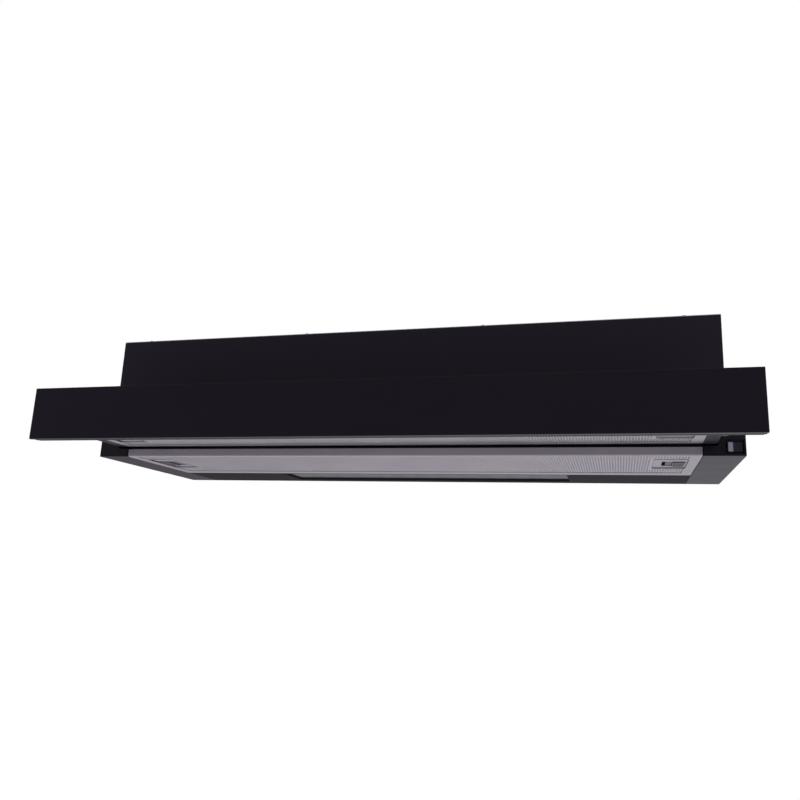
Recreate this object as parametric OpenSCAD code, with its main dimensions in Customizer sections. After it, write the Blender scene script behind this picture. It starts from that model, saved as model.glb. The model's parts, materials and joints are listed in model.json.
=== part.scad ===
// Slide-out range hood that hangs in a wall cabinet. The drawer is drawn fully out. The upper box
// goes up inside the cabinet, the cabinet's sides rest on the ledges of the wider lower body, and a
// grease filter closes each air inlet. Origin: centre of the four cabinet screws, on the top face.

/* [Overall] */
// Width of the front panel and of the lower body
hood_w = 898; // [760:1:1100]
// Height from the underside of the body to the top face
hood_h = 179; // [174:1:240]
// Depth of the body, front face to rear face
body_d = 271; // [262:1:340]
// Width of the ledge on each side, under the cabinet's sides
ledge_w = 20; // [17:1:24]
// How far the drawer slides
drawer_travel = 127; // [100:1:140]
// Thickness of the folded sheet metal
sheet_t = 1; // [0.8:0.1:1.2]

/* [Front panel] */
// Height of the front panel
panel_h = 69; // [60:1:90]
// Depth of the whole front panel, glass and carrier
panel_t = 20; // [16:1:26]
// Thickness of the glass
glass_t = 5; // [4:0.5:6]
// Wall of the channel that carries the glass
carrier_t = 2; // [1.5:0.1:2.5]
// Gap between the closed panel and the body
closed_gap = 1; // [1:0.1:2]

/* [Drawer] */
// Height of the drawer tray
tray_h = 27; // [26:1:32]
// Height of the slot between the main filter and the tray
slot_h = 4; // [4:0.5:6]
// Room beside the tray for the slide and the side wall
rail_zone = 32.5; // [31:0.5:34]
// Height of a slide
slide_h = 17; // [16:0.5:18]
// Length of the part of the slide that stays in the body
slide_len = 250; // [240:1:256]
// Diameter of the balls that the slides run on
ball_d = 3; // [2.6:0.1:3]
// Number of balls along each race
ball_count = 6; // [3:1:6]

/* [Side blocks] */
// Width of a side block
block_w = 48; // [46:1:52]
// Wall of a side block
block_t = 2.5; // [2:0.1:3]

/* [Grease filters] */
// Depth of the main filter, front to back
filter_d = 172; // [172:1:178]
// Thickness of the main filter
filter_t = 11; // [11:0.5:13]
// Thickness of the tray filter
tray_filter_t = 9; // [9:0.5:11]
// Wall of the filter frames
frame_t = 1.2; // [1:0.1:1.4]
// Width of the frame at the filter's ends
end_border = 14; // [12:1:16]
// Width of the frame at the rear of the main filter
rear_border = 20; // [16:1:24]
// Width of the frame at the rear of the tray filter
tray_rear_border = 11; // [9:1:14]
// Width of the frame along the front of both filters
front_border = 3; // [2:0.5:5]
// Length of a latch window along the filter
window_w = 42; // [40:1:46]
// Depth of a latch window in the main filter
window_d = 77; // [64:1:84]
// Depth of a latch window in the tray filter
tray_window_d = 64; // [56:1:72]
// How far a latch slides back
latch_travel = 12; // [8:1:14]

/* [Lamp] */
// Width of the lamp opening
lamp_w = 456; // [400:1:500]
// Depth of the lamp opening
lamp_d = 75; // [60:1:76]
// How far the lens sits above the underside
lamp_recess = 4; // [3:0.5:6]
// Height of the lamp housing
lamp_h = 27; // [20:1:27]
// Thickness of the lens
lens_t = 2; // [1.5:0.1:3]
// Number of light chips in the row
led_count = 12; // [6:1:14]

/* [Switch] */
// Width of the switch bezel
bezel_w = 27; // [25:0.5:28]
// Height of the switch bezel
bezel_h = 22.6; // [21:0.2:23]
// Width of the rocker
rocker_w = 17.6; // [14:0.2:18.4]
// Height of the rocker
rocker_h = 11.4; // [9:0.2:13]

/* [Blower] */
// Width of the impeller
fan_w = 90; // [80:1:110]
// Number of blades around the impeller
blade_count = 36; // [24:1:40]
// Depth of a blade, inner edge to outer edge
blade_h = 6.5; // [5:0.5:7]
// Diameter of the motor shaft
shaft_d = 6; // [5:0.5:7]
// Radial running gap of the shaft in its bushes
shaft_gap = 0.05; // [0.03:0.01:0.08]

/* [Outlet] */
// Outside diameter of the spigot that the duct slides over
duct_d = 119; // [100:1:119]
// Height of the spigot above the top face
spigot_h = 38; // [32:1:44]
// Distance from the rear face to the middle of the spigot
outlet_back = 79; // [78:1:90]
// Wall of the spigot
spigot_t = 2; // [1.6:0.1:2.4]
// Diameter of the rod that the flaps turn on
flap_pin_d = 3; // [2.5:0.1:3.5]

/* [Cabinet fixing and cable] */
// Distance from the box's side to a cabinet screw hole
fix_margin_x = 39; // [30:1:60]
// Distance from the box's front or rear to a cabinet screw hole
fix_margin_y = 35.5; // [30:0.5:50]
// Diameter of the cabinet screw holes
fix_hole_d = 5.5; // [4:0.1:7]
// Diameter of the supply cable that the gland takes
cable_d = 8; // [6:0.5:9]

/* [Hidden] */
$fn = 64;

// Colours
BLACK_GLASS = [0.06, 0.06, 0.07];
BLACK_PAINT = [0.10, 0.10, 0.11];
BLACK_PLASTIC = [0.09, 0.09, 0.10];
ALUMINIUM = [0.66, 0.66, 0.69];
ZINC = [0.62, 0.64, 0.66];
GREY_PLASTIC = [0.36, 0.37, 0.44];
WHITE = [0.90, 0.90, 0.88];
BRONZE = [0.62, 0.45, 0.25];

// Small clearances
eps = 0.1; // gap that keeps two fitted pieces apart
side_gap = 0.5; // under a slide, around a latch's tongue, around the tray's filter
filter_gap = 1; // between the main filter and each side block
over = 1; // how far a cut runs past the surface that it opens
race_gap = 0.25; // between a ball and a slide
front_gap = 0.3; // in front of the main filter
rear_gap = 0.4; // behind the main filter
fine = 128; // facets of the large round pieces

// Overall places: X from the middle, Y from the drawn-out panel's face, Z from the underside
side_x = hood_w / 2;
box_x = side_x - ledge_w;
front_y = panel_t + drawer_travel + closed_gap; // front face of the body
rear_y = front_y + body_d;
mid_y = front_y + body_d / 2;
plate_z = hood_h - sheet_t; // underside of the top plate
tray_z = filter_t + slot_h;
tray_x = side_x - rail_zone;
tray_top = tray_z + tray_h;
tray_gap = [1, 3]; // beside the tray and above it
deck_z = tray_top + tray_gap[1]; // underside of the deck
box_z = deck_z + sheet_t;
inner_x = side_x - block_w; // inner edge of the side blocks
filter_x = inner_x - filter_gap;
filter_y = front_y + front_gap;
filter_rear_y = filter_y + filter_d;
panel_y = filter_rear_y + rear_gap; // front edge of the rear panel
tail_gap = 5; // behind the shut drawer
tray_tail = filter_d - drawer_travel - tail_gap; // part of the tray that stays in the body
tray_rear_y = front_y + tray_tail;

// Front panel
carrier_inset = 1; // the glass stands above and below its channel by this much
carrier_z = [carrier_inset, panel_h - carrier_inset];
bumper_r = 4;
bumper_gap = 0.2; // between the bumpers and the body when the drawer is shut

// Slides
slide_drop = 3.5; // below the deck
slide_z = deck_z - slide_drop - slide_h;
sill_z = slide_z - side_gap;
shelf_z = tray_z - 2.5;
slide_room = 14.5; // across a slide and the gaps beside it
upright_u = rail_zone - slide_room; // face that the fixed slide is screwed to, from the side
slide_t = 1.2;
outer_lip = 10; // depth of the fixed slide's channel
inner_lip = 10.5; // depth of the moving slide's channel
race_z = slide_t + ball_d / 2 + race_gap; // centre of a race, from the slide's edge
cage_len = 90;
cage_t = 1;
cage_back = 64; // from the body's front to the middle of a cage
cage_mid_y = front_y + cage_back;
cage_web_gap = 0.8; // between a cage and the fixed slide
cage_tip_gap = 4; // between a cage and the moving slide's web
slide_rear_y = front_y + block_t + over + slide_len;
slide_start = 20; // from the panel to the moving slide
slide_tail_gap = 5; // between the ends of the two slides when the drawer is shut

// Latches
window_inset = 12.5; // from a filter's end to its latch windows
window_in = filter_x - window_inset - window_w; // inner edge of a latch window
well_t = 0.8;
well_h = 7;
well_floor_z = 2; // from the filter's face up to the floor of a latch well
button = [15, 35]; // finger pad of a latch
button_sink = 0.6; // from the filter's face up to the pad's face
latch_room = 24; // beside the finger pad, for the latch to be drawn back
button_in = window_in + latch_room;
rib_pitch = 2.5; // of the ribs on a finger pad
latch_base = [8, 2, 6]; // how far a latch's base reaches inwards, outwards and along
tongue = [19, 2.2];
tongue_z = well_floor_z + well_t + 0.4;
main_latch_back = 77.2; // from the filter's front to the middle of the finger pad
main_latch_y = filter_y + main_latch_back;
main_window_y = filter_y + 32;
main_window = [main_window_y, main_window_y + window_d];
tray_filter_y = panel_t + 2;
tray_filter_rear = front_y - 1;
tray_window_y = tray_filter_rear - 35;
tray_window = [tray_window_y - tray_window_d, tray_window_y];
tray_latch_y = (tray_window[0] + tray_window[1]) / 2;
tab_xs = [-0.75, -0.25, 0.25, 0.75]; // rear tabs of a filter, as shares of its half width
tab_w = 20;
top_lip = 5; // width of the filter frame's upper lip

// Lamp
lamp_front = panel_y + 4.4;
lamp_y = [lamp_front, lamp_front + lamp_d];
lens_z = lamp_recess;
lamp_x = lamp_w / 2;
lens_lap = 1;
notch = [12, 6]; // finger notch at each end of the lens
lamp_top = sheet_t + lamp_h;
lamp_mid_y = (lamp_y[0] + lamp_y[1]) / 2;
led_pitch = 36;
led_board_t = 1.6;
led_board_w = 22;
led_chip = [5, 5, 1.2];
led_driver_size = [90, 40, 26];

// Switch
bezel_t = 1.5;
recess_d = 5; // depth of the recess inside the bezel
bezel_rim = 1.5;
rocker_inset = 12.5; // from the hood's side to the middle of the rocker
rocker_x = side_x - rocker_inset;
rocker_z = bezel_h / 2;
rocker_gap = 0.4;
rocker_depth = 7;
rocker_pin_y = front_y + recess_d + 2;
switch_d = 18;
rocker_lean = 7; // angle that the pressed rocker leans to either side

// Blower: the impeller takes the height that the box leaves
volute_t = 2;
volute_floor = box_z + 4;
tongue_gap = 4;
scroll_growth = 17;
floor_growth = 0.7 * scroll_growth; // what the scroll has grown by where it is lowest
tongue_a = 60; // angle of the cut-off, from the rear, upwards
outlet_room = 16;
fan_r = (plate_z - volute_floor - 2 * tongue_gap - floor_growth - outlet_room) / 2;
tongue_r = fan_r + tongue_gap;
fan_z = volute_floor + tongue_r + floor_growth;
outlet_y = rear_y - outlet_back;
fan_forward = 78; // from the middle of the outlet to the impeller's axis
fan_y = outlet_y - fan_forward;
duct_r = duct_d / 2;
outlet_ys = [outlet_y - duct_r + volute_t, outlet_y + duct_r - volute_t];
fan_side_gap = 5;
volute_x = fan_w / 2 + fan_side_gap + volute_t;
inlet_lap = 8; // how far the inlet's rim covers the blades
inlet_r = fan_r - inlet_lap;
mount_tab = [14, 16, 3];
mount_x = volute_x + mount_tab[0] / 2;
mount_h = 3;
screw_r = 2;
hole_r = 2.2;
blower_screw_len = 12;
blower_head = [4, 2.4]; // radius and height of a blower screw's head

// Motor, inside the right half of the impeller
motor_air = 8.5; // around the motor, for the air that enters
motor_r = fan_r - blade_h - motor_air;
motor_x = [14, 72];
cap_len = 10;
bush_r = shaft_d / 2 + 3;
bush_len = 8;
stator_wall = 12.5;
rotor_r = motor_r - stator_wall;
rotor_gap = 0.5;
rotor_x = [28, 58];
shaft_x = [-12, 76];
capacitor_x = -150;
capacitor_size = [15, 56]; // radius and height

// Outlet
spigot_inner = duct_r - spigot_t;
flange_t = 2;
flange_lap = 13; // around the collar
flange_w = duct_d + 2 * flange_lap;
flap_z = hood_h + 12.5;
flap_t = 1.2;
flap_r = spigot_inner - 1;
knuckle_r = flap_pin_d / 2 + 1.5;
knuckle_gap = 0.1;
knuckle_len = 12;
knuckle_pitch = 16;
stop_h = 2;

// Electrical pieces
wiring_inset = 99; // from the box's sides to the electrical pieces
wiring_back = 13; // and from its rear
terminal_size = [80, 46, 38];
terminal_x = [box_x - wiring_inset - terminal_size[0], box_x - wiring_inset];
terminal_y = [rear_y - wiring_back - terminal_size[1], rear_y - wiring_back];
terminal_z = [plate_z - terminal_size[2], plate_z];
terminal_t = 2;
gland_x = terminal_x[1] - 18;
gland_y = (terminal_y[0] + terminal_y[1]) / 2;
gland_half = 10; // above and below the underside of the plate
gland_r = cable_d / 2 + 4;
sensor_size = [20, 12];
sensor_x = [tray_x - 16.5 - sensor_size[0], tray_x - 16.5];
sensor_y = [front_y + 4, front_y + 4 + sensor_size[1]];
plate_screw_r = 1.5;
plate_screw_len = 6;
plate_screw_inset = 6;
small_head = [3.2, 2]; // radius and height of a small screw's head
plate_screw_xs = [-0.9, -0.3, 0.3, 0.9]; // shares of the box's half width

// ---- helpers -------------------------------------------------------------------------------

// Moves the model so that the middle of the cabinet screws, on the top face, is the origin
module hung() {
    translate([0, -mid_y, -hood_h]) children();
}

// A block between two values on each axis
module slab(x, y, z) {
    translate([x[0], y[0], z[0]]) cube([x[1] - x[0], y[1] - y[0], z[1] - z[0]]);
}

// An outline drawn in X and Z, extruded along Y
module along_y(y) {
    translate([0, y[1], 0]) rotate([90, 0, 0]) linear_extrude(y[1] - y[0]) children();
}

// An outline drawn in Y and Z, extruded along X
module along_x(x) {
    translate([x[0], 0, 0]) rotate([90, 0, 90]) linear_extrude(x[1] - x[0]) children();
}

// A round bar along X through a point in Y and Z
module bar_x(x, y, z, r) {
    translate([x[0], y, z]) rotate([0, 90, 0]) cylinder(h = x[1] - x[0], r = r);
}

module on_left() {
    mirror([1, 0, 0]) children();
}

// ---- front panel ---------------------------------------------------------------------------

module front_panel() {
    hung() color(BLACK_GLASS) slab([-side_x, side_x], [0, glass_t], [0, panel_h]);
}

// Channel behind the glass, open towards it
module panel_carrier() {
    carrier_x = side_x - carrier_t;
    hung() color(BLACK_PAINT) difference() {
        slab([-carrier_x, carrier_x], [glass_t, panel_t], carrier_z);
        slab([-side_x, side_x], [glass_t - over, panel_t - carrier_t],
            carrier_z + [carrier_t, -carrier_t]);
        for (x = panel_screw_xs()) {
            translate([x, panel_t - carrier_t - over, panel_screw_z()]) rotate([-90, 0, 0])
                cylinder(h = carrier_t + 2 * over, r = plate_screw_r);
        }
    }
}

function panel_screw_xs() = [for (s = [-0.8, -0.3, 0.3, 0.8]) s * tray_x];
function panel_screw_z() = tray_top - 8;

// End cap of the channel, rounded at its rear corners
module panel_cap() {
    cap_r = 4;
    x = [side_x - carrier_t, side_x];
    high = carrier_z[1] - carrier_z[0];
    color(BLACK_PLASTIC) along_x(x) union() {
        translate([glass_t, carrier_z[0]]) square([panel_t - glass_t - cap_r, high]);
        translate([glass_t, carrier_z[0] + cap_r]) square([panel_t - glass_t, high - 2 * cap_r]);
        for (z = carrier_z + [cap_r, -cap_r]) {
            translate([panel_t - cap_r, z]) circle(r = cap_r);
        }
    }
}

module panel_cap_right() hung() panel_cap();
module panel_cap_left() hung() on_left() panel_cap();

// Screws that hold the tray's front wall to the channel
module panel_screws() {
    hung() color(ZINC) for (x = panel_screw_xs()) {
        translate([x, panel_t + sheet_t, panel_screw_z()]) rotate([90, 0, 0]) union() {
            cylinder(h = sheet_t + carrier_t + 2, r = plate_screw_r);
            translate([0, 0, -small_head[1]]) cylinder(h = small_head[1], r = small_head[0]);
        }
    }
}

// Rubber pads that meet the body when the drawer is shut
module panel_bumpers() {
    hung() color(BLACK_PLASTIC) for (s = [-1, 1]) {
        translate([s * (side_x - 9), panel_t, sill_z + 10]) rotate([-90, 0, 0])
            cylinder(h = closed_gap - bumper_gap, r = bumper_r);
    }
}

// ---- drawer --------------------------------------------------------------------------------

// Folded tray, open at the rear, with a border under each side and behind the filter
module tray_frame() {
    strip_w = 12;
    strip_y = tray_filter_rear + side_gap;
    hung() color(BLACK_PAINT) difference() {
        slab([-tray_x, tray_x], [panel_t, tray_rear_y], [tray_z, tray_top]);
        slab([-tray_x + sheet_t, tray_x - sheet_t], [panel_t + sheet_t, tray_rear_y + over],
            [tray_z + sheet_t, tray_top - sheet_t]);
        slab([-filter_x - side_gap, filter_x + side_gap], [panel_t + sheet_t, strip_y],
            [tray_z - over, tray_z + 2 * sheet_t]);
        slab([-filter_x, filter_x], [strip_y + strip_w, tray_rear_y + over],
            [tray_z - over, tray_z + 2 * sheet_t]);
        for (x = panel_screw_xs()) {
            translate([x, panel_t - over, panel_screw_z()]) rotate([-90, 0, 0])
                cylinder(h = sheet_t + 2 * over, r = plate_screw_r);
        }
    }
}

// Magnet under the tray's top, which tells the sensor that the drawer is shut
module drawer_magnet() {
    magnet_t = 4;
    hung() color(ZINC) translate([0, -drawer_travel, tray_top - sheet_t - magnet_t])
        slab(sensor_x + [2, -2], sensor_y + [1, -1], [0, magnet_t]);
}

// Moving member of a slide: a channel on the tray's side, its lips towards the body
module slide_inner() {
    x = [tray_x, tray_x + inner_lip];
    inset = race_z + ball_d / 2 + race_gap;
    z = [slide_z + inset, slide_z + slide_h - inset];
    y = [panel_t + slide_start, slide_rear_y - drawer_travel - slide_tail_gap];
    color(ZINC) difference() {
        slab(x, y, z);
        slab([x[0] + slide_t, x[1] + over], [y[0] - over, y[1] + over],
            [z[0] + slide_t, z[1] - slide_t]);
    }
}

module slide_inner_right() hung() slide_inner();
module slide_inner_left() hung() on_left() slide_inner();

// Fixed member of a slide: a channel in the side block, its lips towards the tray
module slide_outer() {
    x = [side_x - upright_u - outer_lip, side_x - upright_u];
    y = [slide_rear_y - slide_len, slide_rear_y];
    z = [slide_z, slide_z + slide_h];
    color(ZINC) difference() {
        slab(x, y, z);
        slab([x[0] - over, x[1] - slide_t], [y[0] - over, y[1] + over],
            [z[0] + slide_t, z[1] - slide_t]);
    }
}

module slide_outer_right() hung() slide_outer();
module slide_outer_left() hung() on_left() slide_outer();

// Ball cage between the two members of a slide
module ball_cage() {
    web_x = side_x - upright_u - slide_t - cage_web_gap - cage_t;
    tip_x = tray_x + slide_t + cage_tip_gap;
    ball_x = (web_x + tip_x + cage_t) / 2;
    y = [cage_mid_y - cage_len / 2, cage_mid_y + cage_len / 2];
    races = [slide_z + race_z, slide_z + slide_h - race_z];
    pitch = cage_len / ball_count;
    color(ZINC) union() {
        slab([web_x, web_x + cage_t], y, [races[0] - cage_t / 2, races[1] + cage_t / 2]);
        for (z = races) {
            slab([tip_x, web_x + cage_t / 2], y, [z - cage_t / 2, z + cage_t / 2]);
            for (i = [0 : ball_count - 1]) {
                translate([ball_x, y[0] + (i + 0.5) * pitch, z]) sphere(d = ball_d);
            }
        }
    }
}

module ball_cage_right() hung() ball_cage();
module ball_cage_left() hung() on_left() ball_cage();

// ---- grease filters ------------------------------------------------------------------------

// Pressed aluminium frame with a latch well at each end and tabs along the rear
module cassette_frame(y, z, t, rear_b, window, latch_y, tab_out, tab_z) {
    color(ALUMINIUM) union() {
        difference() {
            union() {
                cassette_shell(y, z, t, rear_b);
                for (s = [-1, 1]) {
                    well_block(s, window, z);
                }
                for (k = tab_xs) {
                    slab([k * filter_x - tab_w / 2, k * filter_x + tab_w / 2],
                        [y[1] - frame_t, y[1] + tab_out], [tab_z, tab_z + well_t]);
                }
            }
            for (s = [-1, 1]) {
                well_space(s, window, z, latch_y);
            }
        }
        for (s = [-1, 1]) {
            well_floor(s, window, z, latch_y);
        }
    }
}

// Shell of a filter frame, open below over the field and above inside a lip
module cassette_shell(y, z, t, rear_b) {
    field_x = filter_x - end_border;
    difference() {
        slab([-filter_x, filter_x], y, [z, z + t]);
        slab([-filter_x + frame_t, filter_x - frame_t], [y[0] + frame_t, y[1] - frame_t],
            [z + well_t, z + t - well_t]);
        slab([-field_x, field_x], [y[0] + front_border, y[1] - rear_b], [z - over, z + t / 2]);
        slab([-filter_x + top_lip, filter_x - top_lip], y + [top_lip, -top_lip],
            [z + t / 2, z + t + over]);
    }
}

// Outside of a latch well
module well_block(s, window, z) {
    x = s > 0 ? [window_in - well_t, filter_x] : [-filter_x, -window_in + well_t];
    slab(x, [window[0] - well_t, window[1] + well_t], [z, z + well_h + well_t]);
}

// Inside of a latch well, its window and the slot that the tongue goes out through
module well_space(s, window, z, latch_y) {
    mirror([s > 0 ? 0 : 1, 0, 0]) {
        slab([window_in, window_in + window_w], window, [z - over, z + well_h]);
        slab([window_in, filter_x - frame_t], window, [z + well_t, z + well_h]);
        slab([filter_x - 2 * frame_t, filter_x + over],
            [latch_y - tongue[0] / 2 - side_gap, latch_y + tongue[0] / 2 + side_gap],
            [z + tongue_z - 0.3, z + tongue_z + tongue[1] + 0.3]);
    }
}

// Floor of a latch well, with the slot that the finger pad slides in
module well_floor(s, window, z, latch_y) {
    slot_gap = 1;
    mirror([s > 0 ? 0 : 1, 0, 0]) difference() {
        slab([window_in - well_t, filter_x - frame_t / 2], window + [-well_t / 2, well_t / 2],
            [z + well_floor_z, z + well_floor_z + well_t]);
        slab([button_in - latch_travel - slot_gap, button_in + button[0] + slot_gap],
            [latch_y - button[1] / 2 - slot_gap, latch_y + button[1] / 2 + slot_gap],
            [z, z + well_h]);
    }
}

// Layers of mesh inside a filter frame
module cassette_mesh(y, z, t, window) {
    color(ALUMINIUM) difference() {
        slab([-filter_x + frame_t + eps, filter_x - frame_t - eps],
            [y[0] + frame_t + eps, y[1] - frame_t - eps], [z + well_t, z + t - well_t]);
        for (s = [-1, 1]) {
            mirror([s > 0 ? 0 : 1, 0, 0])
                slab([window_in - well_t - eps, filter_x],
                    [window[0] - well_t - eps, window[1] + well_t + eps], [z, z + t + over]);
        }
    }
}

// Sliding latch: a ribbed finger pad under a base plate, with a tongue towards the side
module latch(latch_y, z) {
    groove = 1.2;
    base_t = 2;
    base_z = z + well_floor_z + well_t + 0.2;
    pad_x = [button_in, button_in + button[0]];
    pad_y = [latch_y - button[1] / 2, latch_y + button[1] / 2];
    color(GREY_PLASTIC) difference() {
        union() {
            slab(pad_x, pad_y, [z + button_sink, base_z + base_t]);
            slab(pad_x + [-latch_base[0], latch_base[1]], pad_y + [-latch_base[2], latch_base[2]],
                [base_z, base_z + base_t]);
            slab([pad_x[1] - over, filter_x - 0.3],
                [latch_y - tongue[0] / 2, latch_y + tongue[0] / 2],
                [z + tongue_z, z + tongue_z + tongue[1]]);
            slab([pad_x[1] - over, pad_x[1] + 2], [latch_y - tongue[0] / 2, latch_y + tongue[0] / 2],
                [z + tongue_z, z + well_h - 1]);
        }
        for (i = [1 : 5]) {
            groove_x = pad_x[0] + i * rib_pitch;
            slab([groove_x - groove / 2, groove_x + groove / 2], pad_y + [2, -2],
                [z, z + button_sink + groove]);
        }
    }
}

module tray_filter_frame() {
    hung() cassette_frame([tray_filter_y, tray_filter_rear], tray_z, tray_filter_t,
        tray_rear_border, tray_window, tray_latch_y, 6, tray_z + sheet_t + 0.3);
}

module tray_filter_mesh() {
    hung() cassette_mesh([tray_filter_y, tray_filter_rear], tray_z, tray_filter_t, tray_window);
}

module tray_latch_right() hung() latch(tray_latch_y, tray_z);
module tray_latch_left() hung() on_left() latch(tray_latch_y, tray_z);

module main_filter_frame() {
    hung() cassette_frame([filter_y, filter_rear_y], 0, filter_t, rear_border, main_window,
        main_latch_y, 2, filter_t - 2 * well_t);
}

module main_filter_mesh() {
    hung() cassette_mesh([filter_y, filter_rear_y], 0, filter_t, main_window);
}

module main_latch_right() hung() latch(main_latch_y, 0);
module main_latch_left() hung() on_left() latch(main_latch_y, 0);

// ---- body ----------------------------------------------------------------------------------

// Folded walls of the upper box, with a flange turned in at the top and at the bottom. A flange
// turned out along each side lies on the deck: it is the ledge that the cabinet's side rests on
module upper_box() {
    flange = 12;
    hung() color(BLACK_PAINT) difference() {
        union() {
            slab([-box_x, box_x], [front_y, rear_y], [box_z, plate_z]);
            slab([-side_x, side_x], [front_y, rear_y], [box_z, box_z + sheet_t]);
        }
        slab([-box_x + sheet_t, box_x - sheet_t], [front_y + sheet_t, rear_y - sheet_t],
            [box_z + sheet_t, plate_z - sheet_t]);
        slab([-box_x + flange, box_x - flange], [front_y + flange, rear_y - flange],
            [box_z - over, plate_z + over]);
        plate_screw_holes(plate_z - sheet_t - over, plate_screw_r);
    }
}

// Places of the screws that join the top plate to the box
module plate_screw_places() {
    for (k = plate_screw_xs) {
        for (y = [front_y + plate_screw_inset, rear_y - plate_screw_inset]) {
            translate([k * box_x, y, 0]) children();
        }
    }
}

module plate_screw_holes(z, r) {
    plate_screw_places() translate([0, 0, z]) cylinder(h = hood_h - z + over, r = r);
}

// Places of the four rubber mounts that the blower hangs from
module blower_mount_places() {
    for (s = [-1, 1]) {
        for (y = [outlet_ys[0] + mount_tab[1] / 2, outlet_ys[1] - mount_tab[1] / 2]) {
            translate([s * mount_x, y, 0]) children();
        }
    }
}

module top_plate() {
    hung() color(ZINC) difference() {
        slab([-box_x, box_x], [front_y, rear_y], [plate_z, hood_h]);
        translate([0, outlet_y, plate_z - over]) cylinder(h = sheet_t + 2 * over, r = spigot_inner);
        translate([gland_x, gland_y, plate_z - over]) cylinder(h = sheet_t + 2 * over, r = gland_r);
        for (x = [-box_x + fix_margin_x, box_x - fix_margin_x]) {
            for (y = [front_y + fix_margin_y, rear_y - fix_margin_y]) {
                translate([x, y, plate_z - over])
                    cylinder(h = sheet_t + 2 * over, r = fix_hole_d / 2);
            }
        }
        plate_screw_holes(plate_z - over, plate_screw_r + 0.2);
        blower_mount_places() translate([0, 0, plate_z - over])
            cylinder(h = sheet_t + 2 * over, r = hole_r);
    }
}

module top_screws() {
    hung() color(ZINC) plate_screw_places() translate([0, 0, hood_h]) union() {
        translate([0, 0, -plate_screw_len]) cylinder(h = plate_screw_len, r = plate_screw_r);
        cylinder(h = small_head[1], r = small_head[0]);
    }
}

// Flat ring between the box and the side blocks
module base_deck() {
    lap_x = 2;
    front = 18;
    rear = 14;
    hung() color(BLACK_PAINT) difference() {
        slab([-side_x, side_x], [front_y, rear_y], [deck_z, box_z]);
        slab([-tray_x + lap_x, tray_x - lap_x], [front_y + front, rear_y - rear],
            [deck_z - over, box_z + over]);
    }
}

// Cross-section of a side block, X and Z, with its walls moved in by w: its shelf passes under the
// tray's border, and its sill under the slide
function block_outline(w) = [
    [side_x - w, w],
    [inner_x + w, w],
    [inner_x + w, shelf_z - w],
    [tray_x + tray_gap[0] + w, shelf_z - w],
    [tray_x + tray_gap[0] + w, sill_z - w],
    [side_x - upright_u + w, sill_z - w],
    [side_x - upright_u + w, deck_z - w],
    [side_x - w, deck_z - w]
];

// Hollow moulding that is closed at the front and open at the rear
module side_block() {
    color(BLACK_PLASTIC) difference() {
        along_y([front_y, rear_y]) polygon(block_outline(0));
        along_y([front_y + block_t + over, rear_y + over]) polygon(block_outline(block_t));
    }
}

module side_block_left() hung() on_left() side_block();

// The right block has a seat and a hole for the switch
module side_block_right() {
    hung() difference() {
        side_block();
        slab([side_x - bezel_w - eps, side_x + over], [front_y - over, front_y + bezel_t],
            [-over, bezel_h + eps]);
        slab([side_x - bezel_w + bezel_rim, side_x - bezel_rim],
            [front_y, front_y + recess_d + eps],
            [bezel_rim, bezel_h - bezel_rim]);
    }
}

// Rail behind the front edge of the main filter, in the slot
module front_rail() {
    rail = [12, 2]; // depth and thickness
    back = 4;
    hung() color(BLACK_PAINT) translate([0, front_y + back, filter_t + side_gap])
        slab([-inner_x, inner_x], [0, rail[0]], [0, rail[1]]);
}

// Underside behind the filter: turned up at both edges, with a sunk opening for the lamp
module rear_panel() {
    edge_h = filter_t - 2;
    hung() color(BLACK_PAINT) difference() {
        union() {
            difference() {
                slab([-inner_x, inner_x], [panel_y, rear_y], [0, deck_z]);
                slab([-side_x, side_x], [panel_y + sheet_t, rear_y - sheet_t],
                    [sheet_t, hood_h]);
                slab([-side_x, side_x], [panel_y - over, rear_y - sheet_t], [edge_h, hood_h]);
            }
            slab([-lamp_x - lens_lap, lamp_x + lens_lap],
                [lamp_y[0] - lens_lap, lamp_y[1] + lens_lap], [0, lens_z]);
        }
        slab([-lamp_x, lamp_x], lamp_y, [-over, hood_h]);
        for (s = [-1, 1]) {
            translate([s * lamp_x, lamp_y[0] + notch[0] / 2, lens_z / 2])
                cube([notch[1], notch[0], lens_z + 2 * over], center = true);
        }
    }
}

// ---- lamp ----------------------------------------------------------------------------------

module lamp_housing() {
    gap = 0.3;
    x = lamp_x + lens_lap + gap + sheet_t;
    y = [lamp_y[0] - lens_lap - gap, lamp_y[1] + lens_lap + gap];
    hung() color(WHITE) difference() {
        slab([-x, x], [y[0] - sheet_t, y[1] + sheet_t], [sheet_t, lamp_top]);
        slab([-x + sheet_t, x - sheet_t], y, [-over, lamp_top - sheet_t]);
    }
}

module lamp_lens() {
    hung() color(WHITE) slab([-lamp_x - lens_lap, lamp_x + lens_lap],
        [lamp_y[0] - lens_lap, lamp_y[1] + lens_lap], [lens_z, lens_z + lens_t]);
}

module led_board() {
    half = led_pitch * led_count / 2;
    top = lamp_top - sheet_t;
    hung() color(WHITE) slab([-half, half],
        [lamp_mid_y - led_board_w / 2, lamp_mid_y + led_board_w / 2], [top - led_board_t, top]);
}

module led_chips() {
    top = lamp_top - sheet_t - led_board_t;
    hung() color([0.95, 0.90, 0.55]) for (i = [0 : led_count - 1]) {
        translate([(i - (led_count - 1) / 2) * led_pitch, lamp_mid_y, top - led_chip[2] / 2])
            cube(led_chip, center = true);
    }
}

// Power supply of the lamp, under the top plate
module led_driver() {
    hung() color(WHITE) translate([-box_x + wiring_inset, rear_y - wiring_back - led_driver_size[1],
        plate_z - led_driver_size[2]]) cube(led_driver_size);
}

// ---- switch --------------------------------------------------------------------------------

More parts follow.
